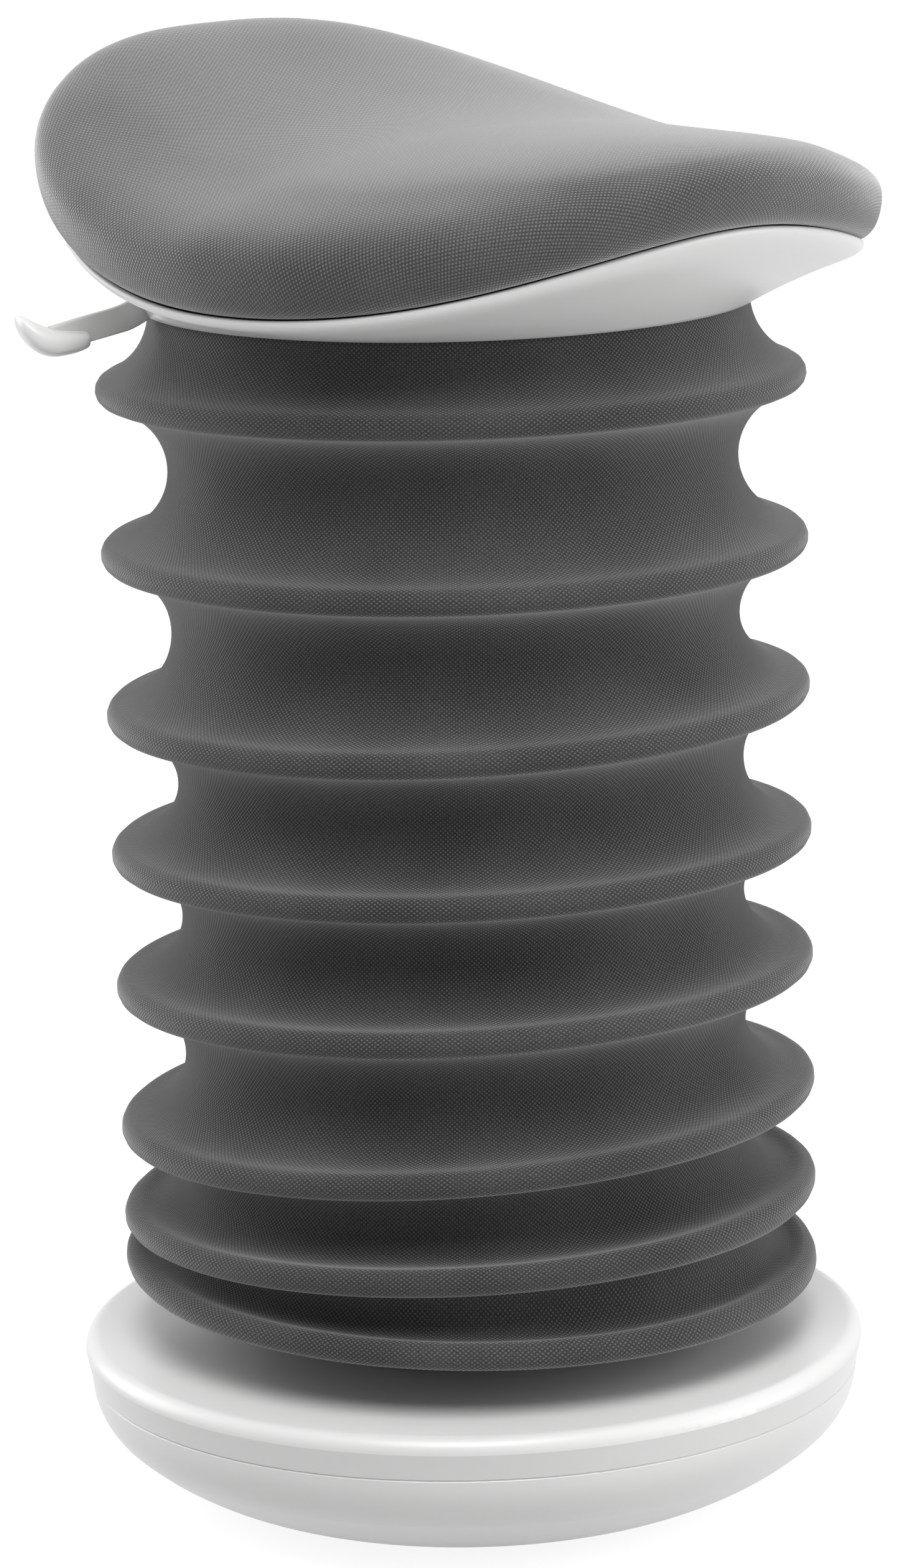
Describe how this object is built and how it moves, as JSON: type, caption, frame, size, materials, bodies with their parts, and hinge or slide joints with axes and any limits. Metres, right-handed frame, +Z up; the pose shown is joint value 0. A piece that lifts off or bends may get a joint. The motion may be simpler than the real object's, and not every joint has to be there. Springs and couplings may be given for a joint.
{
  "type": "office stool",
  "caption": "Height-adjustable rocking office stool: saddle-shaped padded seat with a release lever, gas column in a hooped fabric sleeve, round convex base.",
  "frame": {"origin": "on the floor under the column's axis, at the middle of the sole pad", "axes": "+Z up along the column; the sitter faces -Y; +X to the sitter's left"},
  "size_m": [0.4328, 0.4152, 0.7506],
  "materials": {
    "white_shell": "smooth white moulding with a soft gloss",
    "lever_metal": "pale grey powder coat",
    "seat_fabric": "fine ribbed weave, grey",
    "sleeve_fabric": "fine knitted mesh, grey",
    "foam": "open-cell foam",
    "board": "moulded, black",
    "steel": "zinc plated",
    "bright_steel": "hard chromed rod",
    "column_black": "black enamel",
    "spring_wire": "plain spring wire",
    "plastic_dark": "moulded, dark grey",
    "rubber": "matt rubber"
  },
  "bodies": {
    "base": {"sole_pad": "rubber", "base_bowl": "white_shell", "base_cover": "white_shell", "ballast_plate": "steel", "column_hub": "steel", "base_bolts": "steel", "stand_tube": "column_black", "column_foot": "steel", "guide_bush": "plastic_dark", "lower_washer": "steel"},
    "swivel": {"piston_rod": "bright_steel", "piston": "steel", "retaining_clip": "steel", "upper_washer": "steel", "bump_stop": "rubber", "bearing_balls": "steel", "bearing_cage": "plastic_dark", "sleeve": "sleeve_fabric", "sleeve_hem_ring": "plastic_dark"},
    "seat": {"gas_cylinder": "column_black", "rod_guide": "plastic_dark", "valve_body": "steel", "taper_socket": "steel", "seat_plate": "steel", "seat_bolts": "steel", "t_nuts": "steel", "lever_pin": "steel", "seat_board": "board", "seat_foam": "foam", "seat_cover": "seat_fabric", "seat_shell": "white_shell", "shell_screws": "steel", "sleeve_top_ring": "plastic_dark", "ring_screws": "steel"},
    "lever": {"lever_arm": "lever_metal", "lever_paddle": "white_shell"},
    "valve": {"valve_pin": "steel"},
    "hoop_1": {"hoop_1": "spring_wire"},
    "hoop_2": {"hoop_2": "spring_wire"},
    "hoop_3": {"hoop_3": "spring_wire"},
    "hoop_4": {"hoop_4": "spring_wire"},
    "hoop_5": {"hoop_5": "spring_wire"},
    "hoop_6": {"hoop_6": "spring_wire"},
    "hoop_7": {"hoop_7": "spring_wire"},
    "hoop_8": {"hoop_8": "spring_wire"}
  },
  "joints": [
    {"name": "seat_swivel", "type": "hinge", "parent": "base", "child": "swivel", "pos_m": [0, 0, 0], "axis": [0, 0, 1], "continuous": true},
    {"name": "seat_lift", "type": "slide", "parent": "swivel", "child": "seat", "axis": [0, 0, 1], "range_m": [-0.14, 0.06], "deforming": ["sleeve"]},
    {"name": "lever", "type": "hinge", "parent": "seat", "child": "lever", "pos_m": [-0.05298, 0.02817, 0.6409], "axis": [0.4695, 0.8829, 0], "range_deg": [0, 3], "stiffness_Nm_per_rad": 5, "springref_deg": -2.86},
    {"name": "valve_press", "type": "slide", "parent": "seat", "child": "valve", "axis": [0, 0, 1], "range_m": [-0.0032, 0]},
    {"name": "hoop_1_slide", "type": "slide", "parent": "swivel", "child": "hoop_1", "axis": [0, 0, 1], "range_m": [-0.13789, 0.05921]},
    {"name": "hoop_2_slide", "type": "slide", "parent": "swivel", "child": "hoop_2", "axis": [0, 0, 1], "range_m": [-0.1208, 0.05188]},
    {"name": "hoop_3_slide", "type": "slide", "parent": "swivel", "child": "hoop_3", "axis": [0, 0, 1], "range_m": [-0.09413, 0.04045]},
    {"name": "hoop_4_slide", "type": "slide", "parent": "swivel", "child": "hoop_4", "axis": [0, 0, 1], "range_m": [-0.06537, 0.02813]},
    {"name": "hoop_5_slide", "type": "slide", "parent": "swivel", "child": "hoop_5", "axis": [0, 0, 1], "range_m": [-0.03946, 0.01702]},
    {"name": "hoop_6_slide", "type": "slide", "parent": "swivel", "child": "hoop_6", "axis": [0, 0, 1], "range_m": [-0.01711, 0.00745]},
    {"name": "hoop_7_slide", "type": "slide", "parent": "swivel", "child": "hoop_7", "axis": [0, 0, 1], "range_m": [-0.00604, 0.0027]},
    {"name": "hoop_8_slide", "type": "slide", "parent": "swivel", "child": "hoop_8", "axis": [0, 0, 1], "range_m": [-0.0017, 0.00084]}
  ],
  "couplings": [
    {"joint": "valve_press", "follows": "lever", "m_per_rad": -0.06},
    {"joint": "hoop_1_slide", "follows": "seat_lift", "ratio": 0.9835},
    {"joint": "hoop_2_slide", "follows": "seat_lift", "ratio": 0.8614},
    {"joint": "hoop_3_slide", "follows": "seat_lift", "ratio": 0.6709},
    {"joint": "hoop_4_slide", "follows": "seat_lift", "ratio": 0.4655},
    {"joint": "hoop_5_slide", "follows": "seat_lift", "ratio": 0.2804},
    {"joint": "hoop_6_slide", "follows": "seat_lift", "ratio": 0.1208},
    {"joint": "hoop_7_slide", "follows": "seat_lift", "ratio": 0.0417},
    {"joint": "hoop_8_slide", "follows": "seat_lift", "ratio": 0.0107}
  ]
}
